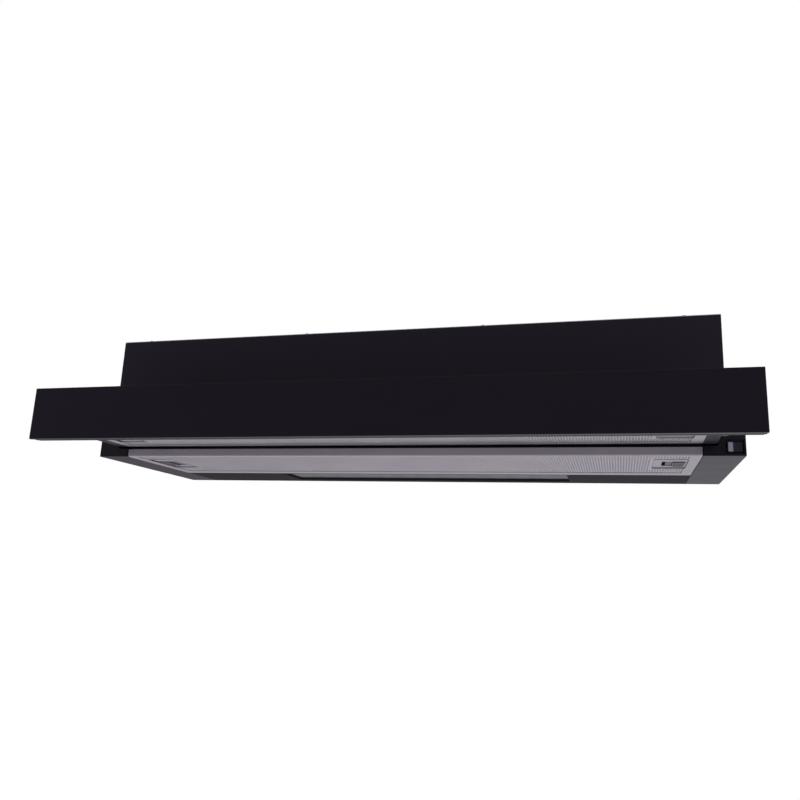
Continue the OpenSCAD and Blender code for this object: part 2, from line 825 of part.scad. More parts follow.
// Frame and recess around the rocker
module control_bezel() {
    x = [side_x - bezel_w, side_x];
    in_x = [x[0] + bezel_rim, x[1] - bezel_rim];
    in_z = [bezel_rim, bezel_h - bezel_rim];
    cup_t = 0.8;
    hung() color(BLACK_PLASTIC) difference() {
        union() {
            slab(x, [front_y, front_y + bezel_t], [0, bezel_h]);
            slab(in_x + [eps, -eps], [front_y, front_y + recess_d], in_z + [eps, -eps]);
        }
        slab(in_x + [cup_t, -cup_t], [front_y - over, front_y + recess_d - cup_t],
            in_z + [cup_t, -cup_t]);
        slab([rocker_x - rocker_w / 2 - rocker_gap, rocker_x + rocker_w / 2 + rocker_gap],
            [front_y, front_y + recess_d + over],
            [rocker_z - rocker_h / 2 - rocker_gap, rocker_z + rocker_h / 2 + rocker_gap]);
    }
}

// Body of the switch, behind the bezel, with a pin above and below the rocker
module switch_body() {
    wall = 0.6;
    half = rocker_w / 2 + rocker_gap;
    high = rocker_h / 2 + rocker_gap;
    seat_d = 8;
    pin_lap = 0.7; // how far a pin reaches into the rocker's bore
    pin_size = [1, 1.6]; // radius and length
    y = [front_y + recess_d, front_y + recess_d + switch_d];
    hung() color(BLACK_PLASTIC) union() {
        difference() {
            slab([rocker_x - half - wall, rocker_x + half + wall], y,
                [rocker_z - high - wall, rocker_z + high + wall]);
            slab([rocker_x - half, rocker_x + half], [y[0] - over, y[0] + seat_d],
                [rocker_z - high, rocker_z + high]);
        }
        for (s = [-1, 1]) {
            translate([rocker_x, rocker_pin_y, rocker_z + s * (high - pin_lap)])
                cylinder(h = pin_size[1], r = pin_size[0], center = true);
        }
    }
}

// Rocker with two faces that meet in a shallow valley, leaning to its pressed side
module rocker() {
    half = rocker_w / 2;
    dish = half * tan(rocker_lean);
    face_y = -rocker_depth + 2;
    foot = [3, 3]; // half width and depth behind the pins
    bore_r = 1.06;
    hung() color(GREY_PLASTIC) translate([rocker_x, rocker_pin_y, rocker_z - rocker_h / 2])
        rotate([0, 0, rocker_lean]) difference() {
            linear_extrude(rocker_h) polygon([
                [-half + 0.6, face_y - dish], [0, face_y], [half - 0.6, face_y - dish],
                [half - 1.4, 1.5], foot, [-foot[0], foot[1]], [-half + 1.4, 1.5]
            ]);
            translate([0, 0, -over]) cylinder(h = rocker_h + 2 * over, r = bore_r);
        }
}

// Magnetic sensor under the deck, over the magnet when the drawer is shut
module drawer_sensor() {
    hung() color(BLACK_PLASTIC) slab(sensor_x, sensor_y, [tray_top + 0.6, deck_z]);
}

// ---- blower --------------------------------------------------------------------------------

function scroll_r(a) = tongue_r + scroll_growth * (a - tongue_a) / (360 - tongue_a);

// Side view of the volute, Y and Z: a growing spiral that opens upwards, moved in by w
function volute_outline(w, top) = concat(
    [for (a = [tongue_a : 10 : 360])
        [fan_y + (scroll_r(a) - w) * cos(a), fan_z + (scroll_r(a) - w) * sin(a)]],
    [[outlet_ys[1] - w, top], [outlet_ys[0] + w, top]]
);

// Half of the volute, with its inlet and the tabs that it hangs from
module volute_half() {
    tab_top = plate_z - mount_h;
    color(BLACK_PLASTIC) difference() {
        union() {
            along_x([0, volute_x]) polygon(volute_outline(0, plate_z));
            for (y = [outlet_ys[0], outlet_ys[1] - mount_tab[1]]) {
                slab([volute_x - over, volute_x + mount_tab[0]], [y, y + mount_tab[1]],
                    [tab_top - mount_tab[2], tab_top]);
            }
        }
        along_x([-over, volute_x - volute_t]) polygon(volute_outline(volute_t, plate_z + over));
        bar_x([0, volute_x + over], fan_y, fan_z, inlet_r);
        blower_mount_places() translate([0, 0, tab_top - mount_tab[2] - over])
            cylinder(h = mount_tab[2] + 2 * over, r = hole_r);
    }
}

module volute_right() hung() volute_half();
module volute_left() hung() on_left() volute_half();

module blower_mounts() {
    hung() color(BLACK_PLASTIC) blower_mount_places() difference() {
        translate([0, 0, plate_z - mount_h]) cylinder(h = mount_h, r = mount_tab[0] / 2 - 0.5);
        translate([0, 0, plate_z - mount_h - over]) cylinder(h = mount_h + 2 * over, r = hole_r);
    }
}

module blower_screws() {
    hung() color(ZINC) blower_mount_places() translate([0, 0, hood_h]) union() {
        translate([0, 0, -blower_screw_len]) cylinder(h = blower_screw_len, r = screw_r);
        cylinder(h = blower_head[1], r = blower_head[0]);
    }
}

// Double-inlet impeller: a middle disc, a ring at each end and straight leaning blades
module impeller() {
    hub_r = 9;
    ring_r = fan_r - blade_h;
    ring_t = 2;
    blade_t = 1;
    blade_lean = 20;
    root_gap = 0.3; // the blades stay inside the rings
    hung() color(BLACK_PLASTIC) difference() {
        union() {
            bar_x([-1, 1], fan_y, fan_z, fan_r);
            bar_x([shaft_x[0], motor_x[0] - 4], fan_y, fan_z, hub_r);
            for (x = [-fan_w / 2, fan_w / 2 - ring_t]) {
                difference() {
                    bar_x([x, x + ring_t], fan_y, fan_z, fan_r);
                    bar_x([x - over, x + ring_t + over], fan_y, fan_z, ring_r);
                }
            }
            for (i = [0 : blade_count - 1]) {
                translate([0, fan_y, fan_z]) rotate([i * 360 / blade_count, 0, 0])
                    translate([-(fan_w - ring_t) / 2, -blade_t / 2, ring_r + root_gap])
                        rotate([-blade_lean, 0, 0])
                            cube([fan_w - ring_t, blade_t, blade_h - 0.5 - root_gap]);
            }
        }
        bar_x([shaft_x[0] - over, motor_x[0]], fan_y, fan_z, shaft_d / 2);
    }
}

module motor_shaft() {
    hung() color(ZINC) bar_x(shaft_x, fan_y, fan_z, shaft_d / 2);
}

module motor_rotor() {
    hung() color(ZINC) difference() {
        bar_x(rotor_x, fan_y, fan_z, rotor_r);
        bar_x(rotor_x + [-over, over], fan_y, fan_z, shaft_d / 2);
    }
}

// Wound core around the rotor
module motor_stator() {
    x = [motor_x[0] + cap_len, motor_x[1] - cap_len];
    hung() color(BRONZE) difference() {
        bar_x(x, fan_y, fan_z, motor_r);
        bar_x(x + [-over, over], fan_y, fan_z, rotor_r + rotor_gap);
    }
}

// End cap of the motor, with a seat for a bush
module motor_cap(x, bush_x) {
    color(ZINC) difference() {
        bar_x(x, fan_y, fan_z, motor_r);
        bar_x(x + [-over, over], fan_y, fan_z, shaft_d / 2 + 1);
        bar_x(bush_x, fan_y, fan_z, bush_r);
    }
}

function inner_bush() = [motor_x[0] + cap_len - bush_len, motor_x[0] + cap_len];
function outer_bush() = [motor_x[1] - cap_len, motor_x[1] - cap_len + bush_len];

module motor_cap_inner() hung() motor_cap([motor_x[0], motor_x[0] + cap_len], inner_bush());
module motor_cap_outer() hung() motor_cap([motor_x[1] - cap_len, motor_x[1]], outer_bush());

module shaft_bushes() {
    hung() color(BRONZE) for (x = [inner_bush(), outer_bush()]) {
        difference() {
            bar_x(x, fan_y, fan_z, bush_r);
            bar_x(x + [-over, over], fan_y, fan_z, shaft_d / 2 + shaft_gap);
        }
    }
}

// Three-legged bracket from the motor to the rim of the right inlet
module motor_bracket() {
    leg_w = 12;
    leg_r = [inlet_r + 4, tongue_r];
    plate_t = 2.5;
    plate_inset = 6;
    hung() color(ZINC) difference() {
        union() {
            bar_x([motor_x[1], motor_x[1] + plate_t], fan_y, fan_z, motor_r - plate_inset);
            for (a = [0, 120, 240]) {
                translate([0, fan_y, fan_z]) rotate([a, 0, 0]) {
                    slab([motor_x[1], motor_x[1] + plate_t], [-leg_w / 2, leg_w / 2], [0, leg_r[1]]);
                    slab([volute_x, motor_x[1] + over], [-leg_w / 2, leg_w / 2], leg_r);
                }
            }
        }
        bar_x([motor_x[1] - over, shaft_x[1] + over], fan_y, fan_z, shaft_d / 2 + 2);
    }
}

// Run capacitor, hung from the top plate by its stud
module capacitor() {
    stud = [4, 6]; // radius and length
    can_top = plate_z - stud[1] + 1;
    hung() color(WHITE) translate([capacitor_x, fan_y - 30, 0]) union() {
        translate([0, 0, can_top - capacitor_size[1]])
            cylinder(h = capacitor_size[1], r = capacitor_size[0]);
        translate([0, 0, plate_z - stud[1]]) cylinder(h = stud[1], r = stud[0]);
    }
}

// ---- outlet --------------------------------------------------------------------------------

// Collar for the duct, with a square flange, a stop ring for the flaps and holes for their rod
module outlet_spigot() {
    stop_w = 4; // of the ring that the shut flaps lie on
    stop_z = flap_z - flap_t / 2 - 0.3 - stop_h;
    head_room = [5, 6]; // radius and height over a blower screw's head
    hung() color(BLACK_PLASTIC) translate([0, outlet_y, 0]) difference() {
        union() {
            translate([-flange_w / 2, -flange_w / 2, hood_h]) cube([flange_w, flange_w, flange_t]);
            translate([0, 0, hood_h]) cylinder(h = spigot_h, r = duct_r, $fn = fine);
        }
        translate([0, 0, hood_h - over])
            cylinder(h = stop_z - hood_h + over, r = spigot_inner, $fn = fine);
        translate([0, 0, hood_h - over])
            cylinder(h = spigot_h, r = spigot_inner - stop_w, $fn = fine);
        translate([0, 0, stop_z + stop_h])
            cylinder(h = spigot_h, r = spigot_inner, $fn = fine);
        bar_x([-duct_r - over, duct_r + over], 0, flap_z, flap_pin_d / 2);
        for (s = [-1, 1]) {
            for (t = [-1, 1]) {
                translate([s * mount_x, t * (outlet_ys[1] - outlet_y - mount_tab[1] / 2), hood_h])
                    cylinder(h = 2 * head_room[1], r = head_room[0], center = true);
            }
        }
    }
}

module flap_pin() {
    hung() color(ZINC) bar_x([-duct_r + 0.5, duct_r - 0.5], outlet_y, flap_z, flap_pin_d / 2);
}

// Half-round flap on the front side of the rod; first is the place of its first knuckle
module flap(first) {
    root = knuckle_r + 1;
    places = [for (i = [first : 2 : 5]) (i - 2.5) * knuckle_pitch];
    color(ALUMINIUM) translate([0, outlet_y, flap_z]) difference() {
        union() {
            difference() {
                translate([0, 0, -flap_t / 2]) cylinder(h = flap_t, r = flap_r, $fn = fine);
                translate([-duct_r, -root, -flap_t]) cube([2 * duct_r, 2 * duct_r, 2 * flap_t]);
            }
            for (x = places) {
                translate([x - knuckle_len / 2, -root - over, -flap_t / 2])
                    cube([knuckle_len, root + over, flap_t]);
                bar_x([x - knuckle_len / 2, x + knuckle_len / 2], 0, 0, knuckle_r);
            }
        }
        bar_x([-duct_r, duct_r], 0, 0, flap_pin_d / 2 + knuckle_gap);
    }
}

module flap_front() hung() flap(0);
module flap_rear() hung() translate([0, 2 * outlet_y, 0]) mirror([0, 1, 0]) flap(1);

// ---- supply cable --------------------------------------------------------------------------

// Box around the cable's terminals, open below
module terminal_box() {
    hung() color(BLACK_PLASTIC) difference() {
        slab(terminal_x, terminal_y, terminal_z);
        slab(terminal_x + [terminal_t, -terminal_t], terminal_y + [terminal_t, -terminal_t],
            [terminal_z[0] - over, terminal_z[1] - terminal_t]);
        translate([gland_x, gland_y, terminal_z[1] - terminal_t - over])
            cylinder(h = terminal_t + 2 * over, r = gland_r);
    }
}

module terminal_cover() {
    hung() color(BLACK_PLASTIC)
        slab(terminal_x, terminal_y, [terminal_z[0] - terminal_t, terminal_z[0]]);
}

module terminal_block() {
    wires = 3;
    pitch = 12;
    half_d = 8;
    bore = [2.5, 7]; // radius and depth of a terminal
    x = terminal_x[0] + 6;
    z = [terminal_z[1] - terminal_t - 14, terminal_z[1] - terminal_t];
    hung() color(WHITE) difference() {
        slab([x, x + wires * pitch], [gland_y - half_d, gland_y + half_d], z);
        for (i = [0 : wires - 1]) {
            translate([x + (i + 0.5) * pitch, gland_y, z[0] - over])
                cylinder(h = bore[1] + over, r = bore[0]);
        }
    }
}

// Gland through the top plate, with a collar above it
module cable_gland() {
    collar = 3; // height and lap
    hung() color(BLACK_PLASTIC) translate([gland_x, gland_y, 0]) difference() {
        union() {
            translate([0, 0, plate_z - gland_half]) cylinder(h = 2 * gland_half, r = gland_r);
            translate([0, 0, hood_h]) cylinder(h = collar, r = gland_r + collar);
        }
        translate([0, 0, plate_z - gland_half - over])
            cylinder(h = 2 * (gland_half + over), r = cable_d / 2);
    }
}

front_panel();
panel_carrier();
panel_cap_left();
panel_cap_right();
panel_screws();
panel_bumpers();
tray_frame();
drawer_magnet();
slide_inner_left();
slide_inner_right();
tray_filter_frame();
tray_filter_mesh();
tray_latch_left();
tray_latch_right();
ball_cage_left();
ball_cage_right();
slide_outer_left();
slide_outer_right();
upper_box();
top_plate();
top_screws();
base_deck();
side_block_left();
side_block_right();
front_rail();
rear_panel();
main_filter_frame();
main_filter_mesh();
main_latch_left();
main_latch_right();
lamp_housing();
lamp_lens();
led_board();
led_chips();
led_driver();
control_bezel();
switch_body();
rocker();
drawer_sensor();
volute_left();
volute_right();
blower_mounts();
blower_screws();
impeller();
motor_shaft();
motor_rotor();
motor_stator();
motor_cap_inner();
motor_cap_outer();
shaft_bushes();
motor_bracket();
capacitor();
outlet_spigot();
flap_pin();
flap_front();
flap_rear();
terminal_box();
terminal_cover();
terminal_block();
cable_gland();
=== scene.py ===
# %% [markdown]
# # A slide-out range hood
# The hood hangs in a wall cabinet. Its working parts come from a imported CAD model: every part is an
# object that sits at the origin, with its real place in its mesh, and it is never moved. This lesson
# gives the parts their looks: soft edges on the mouldings and on the folded sheet, punched sheets in
# the filters, screws with a driver's recess, and a procedural finish on every surface. The model is in
# metres, +X to the right of a person who faces the hood, -Y out of its front and +Z up.

# %% Load the frame
import json
import math

import bmesh
import bpy
from mathutils import Matrix, Vector


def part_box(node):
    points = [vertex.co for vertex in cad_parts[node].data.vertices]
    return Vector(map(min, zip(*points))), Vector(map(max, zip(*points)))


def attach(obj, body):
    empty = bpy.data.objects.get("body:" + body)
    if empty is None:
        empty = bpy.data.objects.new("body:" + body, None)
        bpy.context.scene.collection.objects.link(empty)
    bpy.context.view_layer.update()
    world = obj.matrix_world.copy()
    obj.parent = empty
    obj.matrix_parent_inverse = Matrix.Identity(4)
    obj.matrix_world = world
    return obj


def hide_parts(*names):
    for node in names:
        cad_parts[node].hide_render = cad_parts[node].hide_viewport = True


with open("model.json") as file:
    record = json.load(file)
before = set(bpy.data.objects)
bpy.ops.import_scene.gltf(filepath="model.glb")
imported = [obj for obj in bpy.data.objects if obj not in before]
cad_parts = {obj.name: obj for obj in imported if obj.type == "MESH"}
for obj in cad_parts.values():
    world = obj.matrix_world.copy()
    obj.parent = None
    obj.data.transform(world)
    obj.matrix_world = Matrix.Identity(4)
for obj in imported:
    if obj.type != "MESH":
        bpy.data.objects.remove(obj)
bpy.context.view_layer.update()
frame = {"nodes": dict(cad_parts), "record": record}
BODY_OF = {node: body for body, nodes in frame["record"]["behaviour"]["bodies"].items()
           for node in nodes}
SLOT_OF = {part["node"]: part["material_slot"] for part in frame["record"]["subparts"]}
MM = 0.001

# %% [markdown]
# ## Camera and light
# The hood is seen from below and from the right of its middle, a little over a metre away, so that
# the front panel, the open drawer and the underside all show. The camera is placed from the lower
# edge of the front panel. A yaw turns it left, a pitch tips it up, and a small roll leans it, as a
# camera leans when it is held by hand.

# %% Camera
EYE_RIGHT = 0.2999  # right of the hood's middle
EYE_AHEAD = 0.8274  # ahead of the front panel
EYE_BELOW = 0.1571  # below the panel's lower edge
AIM = (-16.15, 13.01, 2.47)  # yaw, pitch and roll in degrees
face_lo, face_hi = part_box("front_panel")
eye = Vector((EYE_RIGHT, face_lo.y - EYE_AHEAD, face_lo.z - EYE_BELOW))
yaw, pitch, roll = (math.radians(angle) for angle in AIM)
ahead = Vector((math.sin(yaw) * math.cos(pitch), math.cos(yaw) * math.cos(pitch), math.sin(pitch)))
level = Vector((math.cos(yaw), -math.sin(yaw), 0))
upright = level.cross(ahead)
right = level * math.cos(roll) + upright * math.sin(roll)
up = upright * math.cos(roll) - level * math.sin(roll)

camera = bpy.data.objects.new("camera", bpy.data.cameras.new("camera"))
camera.data.sensor_width = 36
camera.data.lens = 34.4
camera.matrix_world = Matrix.Translation(eye) @ Matrix((right, up, -ahead)).transposed().to_4x4()
bpy.context.scene.collection.objects.link(camera)
bpy.context.scene.camera = camera
print("camera at", [round(c, 3) for c in eye])

# %% [markdown]
# ## A class for shader maths
# A finish is a small network of nodes. Written as Python expressions it reads like a formula:
# `0.4 + 0.1 * grain` adds two Math nodes. The class below wraps one socket, and each operator adds
# the node that it stands for. Every other node comes from one method of Finish.

# %% Shader maths
class Value:
    """One output socket of a network, which can be added, subtracted and multiplied."""

    def __init__(self, network, socket):
        self.network = network
        self.socket = socket

    def math(self, operation, *others):
        return self.network.node("ShaderNodeMath", {"operation": operation}, dict(enumerate(others)))

    def __add__(self, other):
        return self.math("ADD", self, other)

    def __sub__(self, other):
        return self.math("SUBTRACT", self, other)

    def __rsub__(self, other):
        return self.math("SUBTRACT", other, self)

    def __mul__(self, other):
        return self.math("MULTIPLY", self, other)

    __radd__ = __add__
    __rmul__ = __mul__

    def wave(self):
        return self.math("SINE", self)

    def clamped(self, low, high):
        """0 below low and 1 above high, straight between them."""
        sockets = {"Value": self, "From Min": low, "From Max": high}
        return self.network.node("ShaderNodeMapRange", {"clamp": True}, sockets)


class Network:
    """A tree of shader nodes, with the one method that makes them."""

    def __init__(self, tree, coordinates):
        self.tree = tree
        source = tree.nodes.new("ShaderNodeTexCoord")
        self.place = Value(self, source.outputs[coordinates])

    def node(self, kind, settings=None, sockets=None, output=0):
        """Adds a node: its settings first, then the values or links of its sockets."""
        made = self.tree.nodes.new(kind)
        for key, value in (settings or {}).items():
            setattr(made, key, value)
        for key, value in (sockets or {}).items():
            if isinstance(value, Value):
                self.tree.links.new(value.socket, made.inputs[key])
            else:
                made.inputs[key].default_value = value
        return Value(self, made.outputs[output])

    def axis(self, name):
        return self.node("ShaderNodeSeparateXYZ", {}, {0: self.place}, output=name)

    def blend(self, share, first, second):
        """A colour between two colours."""
        colours = {0: share, 6: self.rgba(first), 7: self.rgba(second)}
        return self.node("ShaderNodeMix", {"data_type": "RGBA"}, colours, output=2)

    @staticmethod
    def rgba(colour):
        return colour if isinstance(colour, Value) else (*colour, 1.0)


class Finish(Network):
    """A material with one Principled shader whose sockets are set or fed by name."""

    def __init__(self, name, **constants):
        self.material = bpy.data.materials.new(name)
        self.material.use_nodes = True
        super().__init__(self.material.node_tree, "Object")
        self.shader = self.tree.nodes["Principled BSDF"]
        for key, value in constants.items():
            self.shader.inputs[self.label(key)].default_value = value

    @staticmethod
    def label(key):
        """coat_ior is the socket Coat IOR."""
        return key.replace("_", " ").title().replace("Ior", "IOR")

    def feed(self, **links):
        """Links a value to each named socket of the shader."""
        for key, value in links.items():
            self.tree.links.new(value.socket, self.shader.inputs[self.label(key)])

    def stretched(self, scale):
        """The place on the piece, scaled along each axis."""
        return self.node("ShaderNodeMapping", {}, {"Vector": self.place, "Scale": scale})

    def noise(self, size, detail=3.0, place=None):
        """Soft spots about `size` metres across, from 0 to 1."""
        sockets = {"Vector": place or self.place, "Scale": 1 / size, "Detail": detail}
        return self.node("ShaderNodeTexNoise", {}, sockets)

    def cells(self, size, output="Color"):
        """Irregular cells about `size` metres across."""
        sockets = {"Vector": self.place, "Scale": 1 / size}
        return self.node("ShaderNodeTexVoronoi", {}, sockets, output=output)

    def relief(self, height, depth, strength):
        """Tilts the surface by a height between 0 and 1 that stands for `depth` metres."""
        sockets = {"Height": height, "Distance": depth, "Strength": strength}
        self.feed(normal=self.node("ShaderNodeBump", {}, sockets))


print("shader maths ready")

# %% [markdown]
# ## Floor and studio
# Black objects are drawn by what they reflect, so the room matters more than the lamps. The room in
# front of the hood is dim, which keeps the glass almost black. Behind and below it is a half-bright
# grey with a touch of violet, which the underside picks up at a grazing angle. The camera itself
# sees plain white behind the hood. Towards the left the room behind falls off a little. A pale round
# floor lies well below, and glows a little so that it stays pale from every side.

# %% Floor
FLOOR_DROP = 1.22  # below the front panel
FLOOR_R = 2.7
floor_z = face_lo.z - FLOOR_DROP
disc = bmesh.new()
bmesh.ops.create_circle(disc, cap_ends=True, segments=96, radius=FLOOR_R,
                        matrix=Matrix.Translation((0, 0, floor_z)))
floor_mesh = bpy.data.meshes.new("floor")
disc.to_mesh(floor_mesh)
disc.free()
floor = bpy.data.objects.new("floor", floor_mesh)
bpy.context.scene.collection.objects.link(floor)
floor_finish = Finish("studio_floor", roughness=0.9, emission_strength=0.62, emission_color=(1, 1, 1, 1))
floor_tone = floor_finish.noise(0.5)
floor_finish.feed(base_color=floor_finish.blend(floor_tone, (0.80, 0.80, 0.80), (0.84, 0.84, 0.84)))
floor_mesh.materials.append(floor_finish.material)
print("floor at", round(floor_z, 3))

# %% Room
DIM = (0.370, 0.325, 0.430)  # in front of the hood
HALF_BRIGHT = (0.425, 0.420, 0.475)  # behind it
HALF_BRIGHT_LEFT = (0.215, 0.180, 0.220)
WHITE = (1.0, 1.0, 1.0)  # what the camera itself sees
world = bpy.data.worlds.new("studio")
bpy.context.scene.world = world
world.use_nodes = True
room = Network(world.node_tree, "Generated")
behind = room.axis("Y").clamped(-0.35, 0.45)
across = room.axis("X").clamped(-0.55, 0.05)
seen = room.node("ShaderNodeLightPath", {}, {}, output="Is Camera Ray")
rear_wall = room.blend(across, HALF_BRIGHT_LEFT, HALF_BRIGHT)
backdrop = room.blend(seen, room.blend(behind, DIM, rear_wall), WHITE)
world.node_tree.links.new(backdrop.socket, world.node_tree.nodes["Background"].inputs["Color"])
bpy.context.scene.view_settings.view_transform = "Standard"
print("room nodes:", len(world.node_tree.nodes))


# %% Soft boxes
def soft_box(name, place, aim, size, power):
    """A square soft light that looks at a point."""
    lamp = bpy.data.lights.new(name, "AREA")
    lamp.size = size
    lamp.energy = power
    box = bpy.data.objects.new(name, lamp)
    box.location = place
    box.rotation_mode = "QUATERNION"
    box.rotation_quaternion = (Vector(aim) - Vector(place)).to_track_quat("-Z", "Y")
    box.visible_glossy = False
    bpy.context.scene.collection.objects.link(box)


soft_box("top_soft_box", (-1.2, 1.4, 2.2), (0, 0, 0), 1.6, 40)
soft_box("side_soft_box", (1.9, -2.1, 0.25), (0.43, -0.13, -0.17), 0.8, 6)
print("lights:", len(bpy.data.lights))

# %% [markdown]
# ## Finishes
# Nothing on a real hood is one flat colour. Paint has a fine orange peel, mouldings a spark-eroded
# grain, rolled aluminium runs in streaks, zinc grows flakes, and everything that is touched is a
# little smoother. Each finish below is one short function: it mixes two near colours over the
# surface, varies the roughness, and adds a relief at its real scale.

# %% Painted and glass finishes
def black_glass():
    """Glass painted black on its back: faint smears are all that breaks its gloss."""
    finish = Finish("black_glass", ior=1.34)
    smears = finish.noise(0.09, 4.0, finish.stretched((1.0, 1.0, 3.0)))
    finish.feed(base_color=finish.blend(smears, (0.0030, 0.0030, 0.0045), (0.0050, 0.0048, 0.0070)))
    finish.feed(roughness=0.03 + 0.05 * smears.clamped(0.35, 0.75))
    return finish.material


def black_paint(name, ior, dark, light, rough):
    """Baked powder paint on steel, with its orange peel."""
    finish = Finish(name, ior=ior)
    peel = finish.noise(0.0016, 2.0)
    patches = finish.noise(0.06, 4.0)
    finish.feed(base_color=finish.blend(patches, dark, light))
    finish.feed(roughness=rough + 0.14 * patches + 0.05 * peel)
    finish.relief(peel, 0.00005, 0.6)
    return finish.material


def white_paint():
    """White enamel inside the lamp, a little uneven."""
    finish = Finish("white_enamel", ior=1.5)
    patches = finish.noise(0.03, 4.0)
    finish.feed(base_color=finish.blend(patches, (0.76, 0.76, 0.73), (0.83, 0.83, 0.81)))
    finish.feed(roughness=0.30 + 0.15 * patches)
    finish.relief(finish.noise(0.0015, 2.0), 0.00004, 0.5)
    return finish.material


def moulded(name, dark, light, rough, grain=0.0007):
    """A spark-eroded moulding: fine grain, and gloss that comes and goes."""
    finish = Finish(name, ior=1.34)
    patches = finish.noise(0.04, 4.0)
    pits = finish.noise(grain, 2.0)
    finish.feed(base_color=finish.blend(patches, dark, light))
    finish.feed(roughness=rough + 0.12 * patches + 0.06 * pits)
    finish.relief(pits, 0.00006, 0.55)
    return finish.material


print("paint, glass and moulding ready")

# %% [markdown]
# ## Metal
# Rolled sheet shows fine streaks, zinc grows in flakes, foil is a net of strands and a winding is rows
# of wire. Pictures could show all of it, but each part would need to be unwrapped first. Here noise
# that is stretched along one axis gives the streaks, Voronoi cells give the flakes and the net, and
# a sine wave gives the rows, all from the place on the part itself.

# %% Metal finishes
def rolled_metal(name, dark, light, rough, along=(0.04, 1.0, 1.0), streak=0.0012):
    """Sheet or bar with streaks along one axis, as rolling or turning leaves them."""
    finish = Finish(name, metallic=1.0)
    streaks = finish.noise(streak, 3.0, finish.stretched(along))
    patches = finish.noise(0.05, 4.0)
    finish.feed(base_color=finish.blend(0.5 * streaks + 0.5 * patches, dark, light))
    finish.feed(roughness=rough + 0.10 * streaks + 0.10 * patches)
    finish.relief(streaks, 0.00002, 0.5)
    return finish.material


def zinc_flakes():
    """Galvanised sheet: flakes of zinc, each with its own tone and shine."""
    finish = Finish("galvanised_sheet", metallic=1.0)
    flake = finish.node("ShaderNodeSeparateColor", {}, {0: finish.cells(0.009)})
    bloom = finish.noise(0.05, 4.0)
    tone = 0.65 * flake + 0.35 * bloom
    finish.feed(base_color=finish.blend(tone, (0.40, 0.41, 0.43), (0.62, 0.63, 0.65)))
    finish.feed(roughness=0.30 + 0.16 * flake + 0.14 * bloom)
    finish.relief(flake, 0.00002, 0.4)
    return finish.material


def mesh_layers():
    """Layers of expanded foil seen on edge: a net of strands, with painted shade in the gaps between them.
    """
    finish = Finish("expanded_foil", metallic=1.0)
    strands = finish.cells(0.0024, output="Distance")
    patches = finish.noise(0.03, 3.0)
    foil = strands.clamped(0.1, 0.7)
    # painted shade: the gaps between the strands are darker, standing for the shade inside the layers
    finish.feed(base_color=finish.blend(foil, (0.10, 0.10, 0.105), (0.30, 0.30, 0.31)))
    finish.feed(roughness=0.38 + 0.25 * patches)
    finish.relief(strands, 0.0006, 0.8)
    return finish.material


WIRE_PITCH = 0.9 * MM


def varnished_winding():
    """Copper wire wound in rows under varnish."""
    finish = Finish("varnished_winding", metallic=0.75)
    rows = (finish.axis("X") * (2 * math.pi / WIRE_PITCH)).wave()
    patches = finish.noise(0.006, 3.0)
    finish.feed(base_color=finish.blend(patches, (0.30, 0.13, 0.05), (0.52, 0.27, 0.12)))
    finish.feed(roughness=0.30 + 0.20 * patches)
    finish.relief(0.5 + 0.5 * rows, 0.0002, 0.7)
    return finish.material


print("metal ready")

# %% [markdown]
# ## Switch and lamp
# The rocker is black, and a lighter grey strip along its left edge is a painted highlight that stands
# for the light on it. The strip is told from the rest by its place along X, so its mesh needs no second
# material. The lens has ribs that are too fine to be modelled one by one: a wave across it tilts the
# surface instead, and a slower wave along it paints lighter colour where the chips would shine.

# %% Light and switch finishes
# width of the rocker's painted highlight, a lighter strip along its left edge
HIGHLIGHT_W = 5.5 * MM
CHIPS = 12
RIB_PITCH = 2.2 * MM


def rocker_with_painted_highlight():
    """A black rocker with a painted highlight: a grey strip along its left edge stands for light on it."""
    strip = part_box("rocker")[0].x + HIGHLIGHT_W
    finish = Finish("rocker_with_painted_highlight", ior=1.46)
    grain = finish.noise(0.0007, 2.0)
    black = ((finish.axis("X") - strip) * (1 / MM)).clamped(-0.2, 0.2)
    # painted highlight: the lighter grey of the strip stands for light falling on the rocker's left edge
    grey = finish.blend(grain, (0.24, 0.24, 0.29), (0.31, 0.31, 0.37))
    finish.feed(base_color=finish.blend(black, grey, (0.008, 0.008, 0.010)))
    finish.feed(roughness=0.22 + 0.16 * grain)
    finish.relief(grain, 0.00005, 0.5)
    return finish.material


def frosted_lens():
    """Satin plastic with fine ribs across it, and painted light: lighter colour under each light chip."""
    chips_lo, chips_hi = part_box("led_chips")
    pitch = (chips_hi.x - chips_lo.x) / (CHIPS - 1)
    finish = Finish("frosted_lens", ior=1.49, subsurface_weight=0.1)
    ribs = (finish.axis("Y") * (2 * math.pi / RIB_PITCH)).wave()
    under = (finish.axis("X") * (2 * math.pi / pitch)).wave()
    haze = finish.noise(0.02, 3.0)
    # painted light: lighter colour under each chip, as if the chips shone through the lens, mixed with a
    # random haze
    painted_chip_light_and_haze = 0.5 + 0.25 * under + 0.25 * haze
    finish.feed(base_color=finish.blend(painted_chip_light_and_haze, (0.075, 0.075, 0.080), (0.105, 0.105, 0.112)))
    finish.feed(roughness=0.42 + 0.12 * haze)
    finish.relief(0.5 + 0.5 * ribs, 0.0002, 0.35)
    return finish.material


def light_chip():
    """The yellow phosphor of a light chip."""
    finish = Finish("light_chip", ior=1.5)
    grain = finish.noise(0.0008, 2.0)
    finish.feed(base_color=finish.blend(grain, (0.80, 0.66, 0.20), (0.90, 0.80, 0.42)))
    finish.feed(roughness=0.25 + 0.2 * grain)
    return finish.material


print("switch and lamp ready")

# %% [markdown]
# ## One finish for each slot
# The record gives every part a slot, such as black_paint, and one table turns slots into finishes, so
# that parts of one material always match. Two parts have a finish of their own: the rear panel, whose
# paint is flatter, and the rocker.

